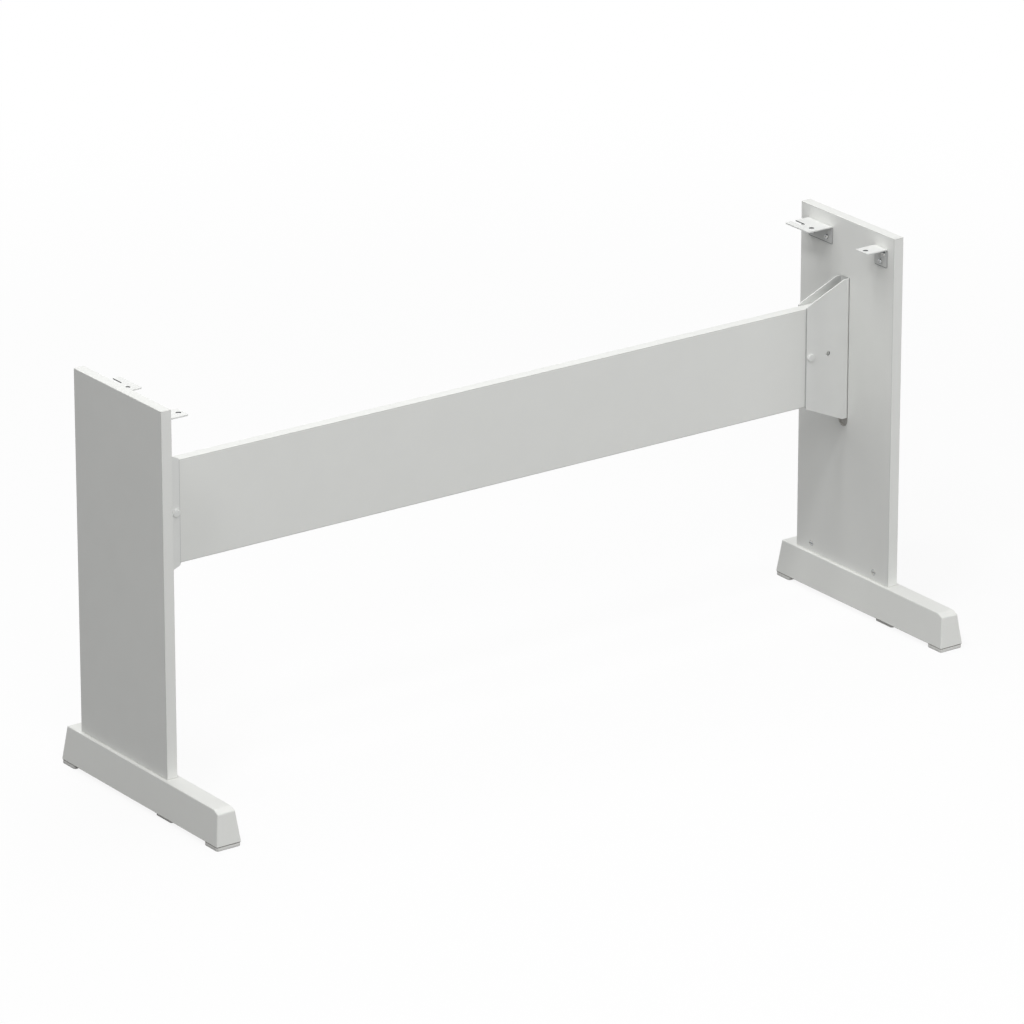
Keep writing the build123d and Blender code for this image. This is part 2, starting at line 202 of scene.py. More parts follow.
# %% [markdown]
# ## Lamps
# On the stand the tops are the lightest, the faces towards the player come next, and the outer face of the
# left panel is the darkest. Part of that is the even light of a white room. Two key lights hang far off and
# high on the left. They lift the tops and the sloping sides of the feet, and leave the corners under the
# angles dark. Five weaker soft boxes fill in: at the front left, over the set, over and behind it, low in
# front, and low at the front right. All are wide, so shadows stay soft, and the lamps themselves stay out
# of the picture.

# %% Lamps
soft_boxes = [
    # name, place, aim, width and height in metres, watts
    ("left_key_box", (-2.2, -0.4, 7.0), (0.0, 0.0, 0.3), (1.3, 1.3), 76.0),
    ("front_left_key_box", (-3.6, -2.1, 5.9), (0.0, 0.0, 0.3), (1.1, 1.1), 72.0),
    ("front_left_box", (-1.6, -2.4, 3.0), (0.0, 0.0, 0.35), (1.2, 1.2), 23.0),
    ("over_box", (0.2, 0.0, 1.9), (0.2, 0.0, 0.0), (1.2, 1.2), 3.2),
    ("rear_over_box", (0.0, 1.3, 3.0), (0.0, 0.0, 0.3), (1.6, 1.6), 22.0),
    ("low_front_box", (0.0, -3.2, 0.6), (0.0, 0.0, 0.3), (3.0, 0.8), 21.0),
    ("front_right_box", (3.0, -2.6, 1.0), (0.0, 0.0, 0.3), (1.8, 1.4), 22.0),
]
for name, place, aim, size, watts in soft_boxes:
    turn = (Vector(aim) - Vector(place)).to_track_quat("-Z", "Y").to_euler()
    bpy.ops.object.select_all(action="DESELECT")
    bpy.ops.object.light_add(type="AREA", location=place, rotation=turn)
    lamp = bpy.context.object
    lamp.name = name
    lamp.data.shape = "RECTANGLE"
    lamp.data.size, lamp.data.size_y = size
    lamp.data.energy = watts
    lamp.visible_camera = False
print("soft boxes:", ", ".join(box[0] for box in soft_boxes))

# %% [markdown]
# ## White melamine laminate
# The panels and the crosspiece are particle board pressed between sheets of paper soaked in melamine
# resin. The press plate leaves a fine pearl in the white skin, and the cut edges are covered by a glued
# plastic band. Up close, a hairline shows where band and face meet, about a millimetre from the edge.
# The hairline is drawn from the board's own measures on Object coordinates, so it stays on the edge from
# every side. Where a router has cut through the skin, as in the groove for a gusset, the board's core
# shows, its grey darkened as painted shade under the gusset.
# The boards differ only in where bands and grooves lie, so one function makes both finishes.

# %% White melamine laminate
pearl_size = 1.5 * mm         # really about 0.5 mm, drawn coarser so that it shows
mottle_size = 60 * mm
handling_size = 25 * mm
chip_size = 2 * mm
band_inset = 1.0 * mm
hairline_half = 0.22 * mm
hairline_fade = 0.2 * mm
hairline_share = 0.45
skin = 0.25 * mm
groove_run = 16.5 * mm
groove_half_width = 13 * mm
sharp = 0.1 * mm              # the fade of a mark that ends sharply


def melamine_board(name, seams, grooves):
    """Satin white laminate with a hairline at each (axis, place), and the board's core, darkened as painted
    shade, in the grooves' bands.
    """
    material = bpy.data.materials.new(name)
    tree = empty_tree(material)
    place = add_node(tree, "ShaderNodeTexCoord").outputs["Object"]
    axes = mirrored_axes(tree, place)
    hairline = mask(tree, axes, [
        (hairline_share, [(axis, at, hairline_half, hairline_fade)]) for axis, at in seams])
    # The grooves' bands hold the board's core, its grey darkened as painted shade under the gusset.
    painted_shade = mask(tree, axes, grooves)
    mottle = add_node(tree, "ShaderNodeTexNoise", {}, {
        "Vector": place, "Scale": 1 / mottle_size, "Detail": 4.0, "Roughness": 0.6})
    white = add_node(tree, "ShaderNodeMix", {"data_type": "RGBA"}, {
        0: mottle.outputs[0], 6: linear("#E5E6E3"), 7: linear("#E9EAE7")})
    joined = add_node(tree, "ShaderNodeMix", {"data_type": "RGBA"}, {
        0: hairline, 6: white.outputs[2], 7: linear("#8D8B84")})
    chips = add_node(tree, "ShaderNodeTexNoise", {}, {
        "Vector": place, "Scale": 1 / chip_size, "Detail": 2.0})
    # Greyer and darker than raw board: painted shade under the gusset.
    shaded_core = add_node(tree, "ShaderNodeMix", {"data_type": "RGBA"}, {
        0: chips.outputs[0], 6: linear("#B5B3AE"), 7: linear("#CFCDC8")})
    colour = add_node(tree, "ShaderNodeMix", {"data_type": "RGBA"}, {
        0: painted_shade, 6: joined.outputs[2], 7: shaded_core.outputs[2]})
    handling = add_node(tree, "ShaderNodeTexNoise", {}, {
        "Vector": place, "Scale": 1 / handling_size, "Detail": 3.0})
    gloss = add_node(tree, "ShaderNodeMapRange", {}, {
        "Value": handling.outputs[0], "From Min": 0.3, "From Max": 0.7, "To Min": 0.43, "To Max": 0.52})
    pearl = add_node(tree, "ShaderNodeTexNoise", {}, {
        "Vector": place, "Scale": 1 / pearl_size, "Detail": 1.5})
    relief = add_node(tree, "ShaderNodeMath", {"operation": "SUBTRACT"}, {
        0: pearl.outputs[0], 1: hairline})
    bump = add_node(tree, "ShaderNodeBump", {}, {
        "Strength": 0.5, "Distance": 0.04 * mm, "Height": relief.outputs[0]})
    surface = add_node(tree, "ShaderNodeBsdfPrincipled", {}, {
        "Base Color": colour.outputs[2], "Roughness": gloss.outputs[0], "IOR": 1.5,
        "Normal": bump.outputs[0]})
    add_node(tree, "ShaderNodeOutputMaterial", {}, {"Surface": surface.outputs[0]})
    return material


panel_low, panel_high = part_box("right_side_panel")
rail_low, rail_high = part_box("crosspiece")
gusset_low, gusset_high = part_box("right_gusset")
gusset_y = (gusset_low.y + gusset_high.y) / 2
groove_half = (gusset_high.z - gusset_low.z + groove_run) / 2
groove_bands = [
    ("X", gusset_high.x, gusset_high.x - panel_low.x - skin, sharp),
    ("Y", gusset_y, groove_half_width, sharp),
    ("Z", gusset_high.z - groove_half, groove_half + 1 * mm, sharp),
]
panel_laminate = melamine_board("white_melamine_side_panel", [
    ("Y", panel_low.y + band_inset), ("Y", panel_high.y - band_inset), ("Z", panel_high.z - band_inset),
], [(1.0, groove_bands)])
rail_laminate = melamine_board("white_melamine_crosspiece", [
    ("Z", rail_low.z + band_inset), ("Z", rail_high.z - band_inset),
], [])
print("laminates:", panel_laminate.name, rail_laminate.name)

# %% [markdown]
# ## White lacquer on fibre board
# The feet are milled from fibre board, which takes a smooth round edge, and are sprayed with white lacquer.
# Sprayed lacquer never levels quite flat. It dries with a shallow waviness of two or three millimetres that
# painters call orange peel, and a little glossier than laminate. A narrow dark line along the bevel at the
# lower edge is painted shade.

# %% White lacquer on fibre board
peel_size = 2.6 * mm
cloud_size = 45 * mm
shade_line = 0.85 * mm
shade_fade = 0.2 * mm
foot_lacquer = bpy.data.materials.new("white_lacquered_fibreboard")
tree = empty_tree(foot_lacquer)
place = add_node(tree, "ShaderNodeTexCoord").outputs["Object"]
cloud = add_node(tree, "ShaderNodeTexNoise", {}, {
    "Vector": place, "Scale": 1 / cloud_size, "Detail": 3.0})
white = add_node(tree, "ShaderNodeMix", {"data_type": "RGBA"}, {
    0: cloud.outputs[0], 6: linear("#E6E7E3"), 7: linear("#EAEBE8")})
foot_low, foot_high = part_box("right_foot")
# A narrow dark line along the lower bevel: painted shade.
painted_shade = mask(tree, mirrored_axes(tree, place), [(1.0, [("Z", foot_low.z, shade_line, shade_fade)])])
colour = add_node(tree, "ShaderNodeMix", {"data_type": "RGBA"}, {
    0: painted_shade, 6: white.outputs[2], 7: linear("#6B665F")})
gloss = add_node(tree, "ShaderNodeMapRange", {}, {
    "Value": cloud.outputs[0], "From Min": 0.3, "From Max": 0.7, "To Min": 0.36, "To Max": 0.44})
peel = add_node(tree, "ShaderNodeTexNoise", {}, {
    "Vector": place, "Scale": 1 / peel_size, "Detail": 1.0})
bump = add_node(tree, "ShaderNodeBump", {}, {
    "Strength": 0.5, "Distance": 0.06 * mm, "Height": peel.outputs[0]})
surface = add_node(tree, "ShaderNodeBsdfPrincipled", {}, {
    "Base Color": colour.outputs[2], "Roughness": gloss.outputs[0], "IOR": 1.5, "Normal": bump.outputs[0]})
add_node(tree, "ShaderNodeOutputMaterial", {}, {"Surface": surface.outputs[0]})
print("lacquer:", foot_lacquer.name)

# %% [markdown]
# ## White powder coat on steel
# Gussets, angles and the domed bolts are steel under baked powder paint. The grains melt together but never
# quite flow out, which leaves a pebbled skin a little under a millimetre across, softer than lacquer and a
# touch cooler than the laminate. Grey is mixed into the white as painted shade inside a narrow channel, on
# the leg under a flange, inside a drilled hole and along sharp cut edges. Each kind of piece has its own
# shaded places, so one function takes them as marks.

# %% White powder coat on steel
pebble_size = 1.2 * mm        # really about 0.7 mm, drawn coarser so that it shows
flow_size = 30 * mm
sheet = 2 * mm
hole_reach = 5 * mm
hole_setback = 32 * mm
spare_setback = 40 * mm
slot_reach = 14 * mm
slot_inset = 13 * mm
rear_hole_inset = 13.5 * mm
channel_deep = 8 * mm         # painted shade is full this far from the channel's closed back
channel_fade = 40 * mm


def powder_coat(name, marks):
    """White powder coat with pebbled skin, painted grey as shade at the marked places."""
    material = bpy.data.materials.new(name)
    tree = empty_tree(material)
    place = add_node(tree, "ShaderNodeTexCoord").outputs["Object"]
    # The marks mix grey into the white as painted shade.
    coat_shade = mask(tree, mirrored_axes(tree, place), marks)
    flow = add_node(tree, "ShaderNodeTexNoise", {}, {
        "Vector": place, "Scale": 1 / flow_size, "Detail": 2.0})
    white = add_node(tree, "ShaderNodeMix", {"data_type": "RGBA"}, {
        0: flow.outputs[0], 6: linear("#E3E4E2"), 7: linear("#E8E9E7")})
    colour = add_node(tree, "ShaderNodeMix", {"data_type": "RGBA"}, {
        0: coat_shade, 6: white.outputs[2], 7: linear("#696B6D")})
    pebble = add_node(tree, "ShaderNodeTexVoronoi", {"feature": "SMOOTH_F1"}, {
        "Vector": place, "Scale": 1 / pebble_size})
    gloss = add_node(tree, "ShaderNodeMapRange", {}, {
        "Value": pebble.outputs["Distance"], "From Min": 0.0, "From Max": 0.8,
        "To Min": 0.42, "To Max": 0.54})
    bump = add_node(tree, "ShaderNodeBump", {"invert": True}, {
        "Strength": 0.5, "Distance": 0.06 * mm, "Height": pebble.outputs["Distance"]})
    surface = add_node(tree, "ShaderNodeBsdfPrincipled", {}, {
        "Base Color": colour.outputs[2], "Roughness": gloss.outputs[0], "IOR": 1.5,
        "Normal": bump.outputs[0]})
    add_node(tree, "ShaderNodeOutputMaterial", {}, {"Surface": surface.outputs[0]})
    return material


def in_wall(axis, middle):
    """Band that holds the inside of a sheet but not its two faces."""
    return (axis, middle, 0.4 * sheet, sharp)


def around(axis, middle, reach):
    """Band that ends sharply on both sides of a place."""
    return (axis, middle, reach, sharp)


def angle_shade_marks(low, high, openings):
    """Painted shade on a steel angle: over its leg, darker along the leg's cut edges, and inside holes in
    its flange.
    """
    leg = ("Z", low.z, high.z - low.z - sheet, 0.5 * mm)
    # Painted shade: grey over the leg under the flange, stronger along the leg's cut edges and inside the
    # holes.
    marks = [(0.22, [leg])]
    marks.append((0.9, [("Z", low.z, 0.8 * mm, 0.6 * mm)]))
    for end in (low.y, high.y):
        marks.append((0.6, [leg, ("Y", end, 0.5 * mm, 0.5 * mm)]))
    for middle, reach in openings:
        marks.append((1.0, [
            around("X", hole_x, hole_reach), around("Y", middle, reach), in_wall("Z", high.z - sheet / 2)]))
    return marks


hole_x = panel_low.x - hole_setback
rail_z = (rail_low.z + rail_high.z) / 2
# Painted shade along the gusset's free edge, inside its spare hole and deep in its channel.
free_edge_shade = [("X", gusset_low.x, 0.45 * mm, 0.2 * mm)]
spare_hole_shade = [
    around("X", panel_low.x - spare_setback, hole_reach),
    in_wall("Y", gusset_low.y + sheet / 2),
    around("Z", rail_z, hole_reach),
]
channel_shade = [
    ("X", gusset_high.x, channel_deep, channel_fade),
    around("Y", gusset_y, gusset_high.y - gusset_y - 0.9 * sheet),
]
gusset_coat = powder_coat("white_powder_coat_gusset", [
    (0.5, free_edge_shade), (1.0, spare_hole_shade), (0.3, channel_shade)])
low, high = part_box("right_front_bracket")
front_openings = [((low.y + high.y) / 2, hole_reach)]
front_bracket_coat = powder_coat("white_powder_coat_front_bracket", angle_shade_marks(low, high, front_openings))
low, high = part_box("right_rear_bracket")
rear_openings = [(low.y + rear_hole_inset, hole_reach), (high.y - slot_inset, slot_reach)]
rear_bracket_coat = powder_coat("white_powder_coat_rear_bracket", angle_shade_marks(low, high, rear_openings))
bolt_coat = powder_coat("white_powder_coat_bolt", [])
print("powder coats:", gusset_coat.name, front_bracket_coat.name, rear_bracket_coat.name, bolt_coat.name)

# %% [markdown]
# ## Bright zinc
# Screws, nuts and foot bolts are steel with a thin layer of zinc from a plating bath. The layer is silvery
# with faint blue and straw clouds a few millimetres wide, and tumbling in the plating drum leaves it dull
# in fine spots. So the colour follows a slow noise and the roughness a fine one.

# %% Bright zinc
zinc_cloud = 4 * mm
tumble_size = 0.8 * mm
zinc_plate = bpy.data.materials.new("bright_zinc_plated_steel")
tree = empty_tree(zinc_plate)
place = add_node(tree, "ShaderNodeTexCoord").outputs["Object"]
cloud = add_node(tree, "ShaderNodeTexNoise", {}, {
    "Vector": place, "Scale": 1 / zinc_cloud, "Detail": 3.0, "Distortion": 0.6})
tint = add_node(tree, "ShaderNodeMapRange", {}, {
    "Value": cloud.outputs[0], "From Min": 0.32, "From Max": 0.68})
colour = add_node(tree, "ShaderNodeMix", {"data_type": "RGBA"}, {
    0: tint.outputs[0], 6: linear("#A9AEB4"), 7: linear("#BDBBB3")})
tumble = add_node(tree, "ShaderNodeTexNoise", {}, {
    "Vector": place, "Scale": 1 / tumble_size, "Detail": 2.0})
gloss = add_node(tree, "ShaderNodeMapRange", {}, {
    "Value": tumble.outputs[0], "From Min": 0.3, "From Max": 0.7, "To Min": 0.26, "To Max": 0.44})
bump = add_node(tree, "ShaderNodeBump", {}, {
    "Strength": 0.4, "Distance": 0.02 * mm, "Height": tumble.outputs[0]})
surface = add_node(tree, "ShaderNodeBsdfPrincipled", {}, {
    "Base Color": colour.outputs[2], "Metallic": 1.0, "Roughness": gloss.outputs[0],
    "Normal": bump.outputs[0]})
add_node(tree, "ShaderNodeOutputMaterial", {}, {"Surface": surface.outputs[0]})
print("zinc:", zinc_plate.name)

# %% [markdown]
# ## Moulded rubber
# The pads are white rubber from a mould with a spark-eroded cavity, which prints a fine matt grain on
# them. Rubber scatters light softly and has no sharp highlight. Some chalky bloom at the scale of a
# centimetre keeps the white from being even, and the upper and the lower rim are darkened as painted
# shade, where the pad meets the foot and the floor.

# %% Moulded rubber
grain_size = 0.9 * mm
bloom_size = 12 * mm
rim_shade_share = 0.6
rim_shade_reach = 0.6 * mm
pad_rubber = bpy.data.materials.new("white_moulded_rubber")
tree = empty_tree(pad_rubber)
place = add_node(tree, "ShaderNodeTexCoord").outputs["Object"]
bloom = add_node(tree, "ShaderNodeTexNoise", {}, {
    "Vector": place, "Scale": 1 / bloom_size, "Detail": 4.0})
white = add_node(tree, "ShaderNodeMix", {"data_type": "RGBA"}, {
    0: bloom.outputs[0], 6: linear("#E1E1DE"), 7: linear("#E8E8E5")})
# Painted shade along the upper rim, at the foot, and the lower rim, at the floor.
rim_shade = mask(tree, mirrored_axes(tree, place), [
    (rim_shade_share, [("Z", 0.0, rim_shade_reach, 0.5 * mm)]),
    (rim_shade_share, [("Z", foot_low.z, rim_shade_reach, 0.4 * mm)])])
colour = add_node(tree, "ShaderNodeMix", {"data_type": "RGBA"}, {
    0: rim_shade, 6: white.outputs[2], 7: linear("#77746E")})
grain = add_node(tree, "ShaderNodeTexNoise", {}, {
    "Vector": place, "Scale": 1 / grain_size, "Detail": 2.0})
gloss = add_node(tree, "ShaderNodeMapRange", {}, {
    "Value": bloom.outputs[0], "From Min": 0.3, "From Max": 0.7, "To Min": 0.66, "To Max": 0.8})
bump = add_node(tree, "ShaderNodeBump", {}, {
    "Strength": 0.6, "Distance": 0.05 * mm, "Height": grain.outputs[0]})
surface = add_node(tree, "ShaderNodeBsdfPrincipled", {}, {
    "Base Color": colour.outputs[2], "Roughness": gloss.outputs[0], "IOR": 1.52, "Normal": bump.outputs[0]})
add_node(tree, "ShaderNodeOutputMaterial", {}, {"Surface": surface.outputs[0]})
print("rubber:", pad_rubber.name)

# %% [markdown]
# ## Beech
# The dowels are turned from beech. Its growth rings run along the peg as soft stripes a millimetre or so
# apart, and short dark flecks lie between them. Both are noise stretched along the peg by a Mapping node.

# %% Beech
ring_size = 1.3 * mm
fleck_size = 0.6 * mm
along_grain = (1.0, 1.0, 0.06)
along_fleck = (1.0, 1.0, 0.25)
beech = bpy.data.materials.new("turned_beech")
tree = empty_tree(beech)
place = add_node(tree, "ShaderNodeTexCoord").outputs["Object"]
grain_place = add_node(tree, "ShaderNodeMapping", {}, {"Vector": place, "Scale": along_grain})
rings = add_node(tree, "ShaderNodeTexNoise", {}, {
    "Vector": grain_place.outputs[0], "Scale": 1 / ring_size, "Detail": 3.0})
wood = add_node(tree, "ShaderNodeMix", {"data_type": "RGBA"}, {
    0: rings.outputs[0], 6: linear("#B98F62"), 7: linear("#DDBB8F")})
fleck_place = add_node(tree, "ShaderNodeMapping", {}, {"Vector": place, "Scale": along_fleck})
flecks = add_node(tree, "ShaderNodeTexNoise", {}, {
    "Vector": fleck_place.outputs[0], "Scale": 1 / fleck_size, "Detail": 1.0})
fleck = add_node(tree, "ShaderNodeMapRange", {}, {
    "Value": flecks.outputs[0], "From Min": 0.6, "From Max": 0.72, "To Min": 0.0, "To Max": 0.6})
colour = add_node(tree, "ShaderNodeMix", {"data_type": "RGBA"}, {
    0: fleck.outputs[0], 6: wood.outputs[2], 7: linear("#8E6540")})
gloss = add_node(tree, "ShaderNodeMapRange", {}, {
    "Value": rings.outputs[0], "From Min": 0.3, "From Max": 0.7, "To Min": 0.55, "To Max": 0.7})
bump = add_node(tree, "ShaderNodeBump", {}, {
    "Strength": 0.5, "Distance": 0.04 * mm, "Height": rings.outputs[0]})
surface = add_node(tree, "ShaderNodeBsdfPrincipled", {}, {
    "Base Color": colour.outputs[2], "Roughness": gloss.outputs[0], "IOR": 1.5, "Normal": bump.outputs[0]})
add_node(tree, "ShaderNodeOutputMaterial", {}, {"Surface": surface.outputs[0]})
print("wood:", beech.name)

# %% [markdown]
# ## Finishes on the boards, feet and folded steel
# These pieces keep their CAD shapes: their bevels, folds and rounded edges are already cut there. A node's
# slots simply get the new materials. The piece's name says which finish it has.

# %% Finishes on the boards, feet and folded steel
finish_of = {
    "side_panel": panel_laminate,
    "crosspiece": rail_laminate,
    "foot": foot_lacquer,
    "gusset": gusset_coat,
    "front_bracket": front_bracket_coat,
    "rear_bracket": rear_bracket_coat,
}
finished = []
for name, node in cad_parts.items():
    kind = name.split("_", 1)[1] if name != "crosspiece" else name
    if kind in finish_of:
        for slot in node.material_slots:
            slot.material = finish_of[kind]
        finished.append(name)
print("finished from CAD:", ", ".join(sorted(finished)))

# %% [markdown]
# ## Working in edit mode without a mouse
# By hand, faces and edges are clicked. In a script they are chosen by where they lie and which way they
# point, so one helper selects whatever passes a test. For a face or a corner the way is its normal, and
# for an edge the way is its direction. A few more helpers start a piece, cut one mesh with another, and set
# copies of a finished fastener in place.

# %% Working in edit mode without a mouse
smooth_angle = math.radians(32)
thread_end = 0.6 * mm         # plain length left at the point of a bolt


def select(kind, test):
    """In edit mode, selects only the faces, edges or corners whose middle and way pass a test."""
    bpy.ops.mesh.select_mode(type=kind)
    bpy.ops.mesh.select_all(action="DESELECT")
    mesh = bmesh.from_edit_mesh(bpy.context.edit_object.data)
    mesh.normal_update()
    items = {"VERT": mesh.verts, "EDGE": mesh.edges, "FACE": mesh.faces}[kind]
    for item in items:
        corners = [item.co] if kind == "VERT" else [corner.co for corner in item.verts]
        middle = sum(corners, Vector()) / len(corners)
        way = (corners[1] - corners[0]).normalized() if kind == "EDGE" else item.normal
        item.select_set(bool(test(middle, way)))
    mesh.select_flush_mode()
    bmesh.update_edit_mesh(bpy.context.edit_object.data)


def add_drum(sides, radius, low, high):
    """A round or many-sided bar that stands on the Z axis between two heights."""
    bpy.ops.object.select_all(action="DESELECT")
    bpy.ops.mesh.primitive_cylinder_add(
        vertices=sides, radius=radius, depth=high - low, location=(0, 0, (low + high) / 2))
    bpy.ops.object.transform_apply(location=True, rotation=True, scale=True)
    return bpy.context.object


def add_block(low, high):
    """A block between its lowest and highest corners."""
    low, high = Vector(low), Vector(high)
    bpy.ops.object.select_all(action="DESELECT")
    bpy.ops.mesh.primitive_cube_add(size=1, location=(low + high) / 2, scale=high - low)
    bpy.ops.object.transform_apply(location=True, rotation=True, scale=True)
    return bpy.context.object


def cut(piece, tool, operation="DIFFERENCE"):
    """Applies a Boolean with another mesh, then removes that mesh."""
    bpy.ops.object.select_all(action="DESELECT")
    piece.select_set(True)
    bpy.context.view_layer.objects.active = piece
    boolean = piece.modifiers.new("cut", "BOOLEAN")
    boolean.operation = operation
    boolean.solver = "EXACT"
    boolean.use_self = True
    boolean.object = tool
    bpy.ops.object.modifier_apply(modifier=boolean.name)
    bpy.data.objects.remove(tool)


def thread(start, end, root, pitch, crest):
    """In edit mode, turns the plain shank between two heights into a row of thread ridges."""
    def on_shank(middle):
        return middle.xy.length < 1.02 * crest

    for height in (start, end):
        bpy.ops.mesh.select_all(action="SELECT")
        bpy.ops.mesh.bisect(plane_co=(0, 0, height), plane_no=(0, 0, 1))
    select("EDGE", lambda middle, way: abs(way.z) > 0.99 and on_shank(middle) and end < middle.z < start)
    ridges = int((start - end) / pitch)
    bpy.ops.mesh.subdivide(number_cuts=2 * ridges - 1)
    step = (start - end) / (2 * ridges)

    def in_valley(middle, way):
        ring = round((start - middle.z) / step)
        inside = end + step / 2 < middle.z < start - step / 2
        return on_shank(middle) and inside and ring % 2 == 1

    select("VERT", in_valley)
    bpy.ops.transform.resize(value=(root / crest, root / crest, 1.0), center_override=(0, 0, 0))


def set_copies(master, name, places, turn):
    """Copies a modelled fastener to its places, fixes the copies there and joins them into one piece."""
    copies = []
    for place in places:
        bpy.ops.object.select_all(action="DESELECT")
        master.select_set(True)
        bpy.context.view_layer.objects.active = master
        bpy.ops.object.duplicate(linked=False)
        copy = bpy.context.object
        copy.location = place
        copy.rotation_euler = turn
        bpy.ops.object.transform_apply(location=True, rotation=True, scale=True)
        copies.append(copy)
    for copy in copies:
        copy.select_set(True)
    bpy.context.view_layer.objects.active = copies[0]
    if len(copies) > 1:
        bpy.ops.object.join()
    piece = bpy.context.object
    piece.name = name
    piece.data.name = name
    return piece


def hand_over(piece, node, material):
    """Gives a modelled piece its material and lets it stand for a CAD node."""
    piece.data.materials.clear()
    piece.data.materials.append(material)
    bpy.ops.object.select_all(action="DESELECT")
    piece.select_set(True)
    bpy.context.view_layer.objects.active = piece
    bpy.ops.object.shade_smooth_by_angle(angle=smooth_angle)
    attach(piece, "root")
    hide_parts(node)


sides = {"left": -1, "right": 1}
made = []
print("helpers ready for", " and ".join(sides))

# %% [markdown]
# ## Pan-head screws
# Twelve screws hold the folded steel to the panels. Each has a low domed head with a cross recess and a
# coarse thread. The head starts as a short drum. Its upper rim is bevelled into the dome, its underside is
# inset and pulled out into the shank and the tip, and the thread is a row of ridges: nobody sees its
# spiral inside the board. The cross is cut by two tapered blades with a Boolean.

# %% Pan-head screws
screw_sides = 36
screw_head = 4.0 * mm
screw_head_height = 2.6 * mm
screw_dome = 1.5 * mm
screw_plain = 2.0 * mm
screw_shank = 2.0 * mm
screw_root = 1.45 * mm
screw_pitch = 1.7 * mm
screw_tip = 4.0 * mm
screw_tip_radius = 0.8 * mm
recess_reach = 2.3 * mm
recess_width = 0.55 * mm
recess_depth = 1.7 * mm


def pan_head_screw(length):
    """One screw along Z, with its bearing face at zero and its head above it."""
    screw = add_drum(screw_sides, screw_head, 0.0, screw_head_height)
    bpy.ops.object.mode_set(mode="EDIT")
    select("EDGE", lambda middle, way: middle.z > 0.99 * screw_head_height and abs(way.z) < 0.1)
    bpy.ops.mesh.bevel(offset=screw_dome, segments=6, profile=0.5, affect="EDGES")
    select("FACE", lambda middle, way: way.z < -0.9)
    bpy.ops.mesh.inset(thickness=screw_head * math.cos(math.pi / screw_sides) - screw_shank)
    bpy.ops.mesh.extrude_region_move(TRANSFORM_OT_translate={"value": (0, 0, screw_tip - length)})
    bpy.ops.mesh.extrude_region_move(TRANSFORM_OT_translate={"value": (0, 0, -screw_tip)})
    taper = screw_tip_radius / screw_shank
    bpy.ops.transform.resize(value=(taper, taper, 1.0), center_override=(0, 0, -length))
    thread(-screw_plain, screw_tip - length, screw_root, screw_pitch, screw_shank)
    bpy.ops.object.mode_set(mode="OBJECT")
    blade = add_block(
        (-recess_reach, -recess_width, screw_head_height - recess_depth),
        (recess_reach, recess_width, screw_head_height + 1 * mm))
    bpy.ops.object.mode_set(mode="EDIT")
    select("FACE", lambda middle, way: way.z < -0.9)
    bpy.ops.transform.resize(value=(0.45, 0.7, 1.0), center_override=(0, 0, 0))
    bpy.ops.mesh.select_all(action="SELECT")
    bpy.ops.mesh.duplicate()
    bpy.ops.transform.rotate(value=math.pi / 2, orient_axis="Z", center_override=(0, 0, 0))
    bpy.ops.object.mode_set(mode="OBJECT")
    cut(screw, blade)
    return screw


screw_places = {
    # CAD node's name, then depth and height of its two screws
    "gusset_screws": ((60.0, 327.0), (60.0, 523.0)),
    "front_bracket_screws": ((-38.0, 603.5), (-29.0, 590.5)),
    "rear_bracket_screws": ((105.0, 594.5), (138.5, 594.5)),
}
for kind, places in screw_places.items():
    low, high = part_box(f"right_{kind}")
    face = low.x + screw_head_height
    master = pan_head_screw(high.x - face)
    for side, sign in sides.items():
        spots = [(sign * face, y * mm, z * mm) for y, z in places]
        turn = (0, -sign * math.pi / 2, 0)
        piece = set_copies(master, f"{side}_{kind}_cross_recess", spots, turn)
        hand_over(piece, f"{side}_{kind}", zinc_plate)
        made.append(piece.name)
    bpy.data.objects.remove(master)
print("screws:", ", ".join(made))

# %% [markdown]
# ## Domed bolts
# One bolt at each end clamps the crosspiece between the walls of its gusset. Its white head is a low drum
# with a softly rounded rim and no recess in sight: it is tightened from behind, at the nut. Bevelling the
# drum's upper rim makes the head, and its underside is inset and pulled out into the threaded shank.

# %% Domed bolts
bolt_sides = 40
bolt_head = 6.3 * mm
bolt_head_height = 4.0 * mm
bolt_rim = 1.8 * mm
bolt_shank = 3.0 * mm
bolt_root = 2.5 * mm
bolt_pitch = 1.0 * mm
bolt_threaded = 13.0 * mm

low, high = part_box("right_crosspiece_bolt")
bolt_face = low.y + bolt_head_height
bolt_length = high.y - bolt_face
bolt = add_drum(bolt_sides, bolt_head, 0.0, bolt_head_height)
bpy.ops.object.mode_set(mode="EDIT")
select("EDGE", lambda middle, way: middle.z > 0.99 * bolt_head_height and abs(way.z) < 0.1)
bpy.ops.mesh.bevel(offset=bolt_rim, segments=8, profile=0.5, affect="EDGES")
select("FACE", lambda middle, way: way.z < -0.9)
bpy.ops.mesh.inset(thickness=bolt_head * math.cos(math.pi / bolt_sides) - bolt_shank)
bpy.ops.mesh.extrude_region_move(TRANSFORM_OT_translate={"value": (0, 0, -bolt_length)})
thread(bolt_threaded - bolt_length, thread_end - bolt_length, bolt_root, bolt_pitch, bolt_shank)
select("EDGE", lambda middle, way: middle.z < 0.1 * mm - bolt_length and abs(way.z) < 0.1)
bpy.ops.mesh.bevel(offset=0.5 * mm, segments=1, affect="EDGES")
bpy.ops.object.mode_set(mode="OBJECT")
for side, sign in sides.items():
    place = (sign * (low.x + high.x) / 2, bolt_face, (low.z + high.z) / 2)
    piece = set_copies(bolt, f"{side}_crosspiece_domed_bolt", [place], (math.pi / 2, 0, 0))
    hand_over(piece, f"{side}_crosspiece_bolt", bolt_coat)
    made.append(piece.name)
bpy.data.objects.remove(bolt)
print("bolts:", made[-2:], "length", round(bolt_length / mm, 1), "mm")

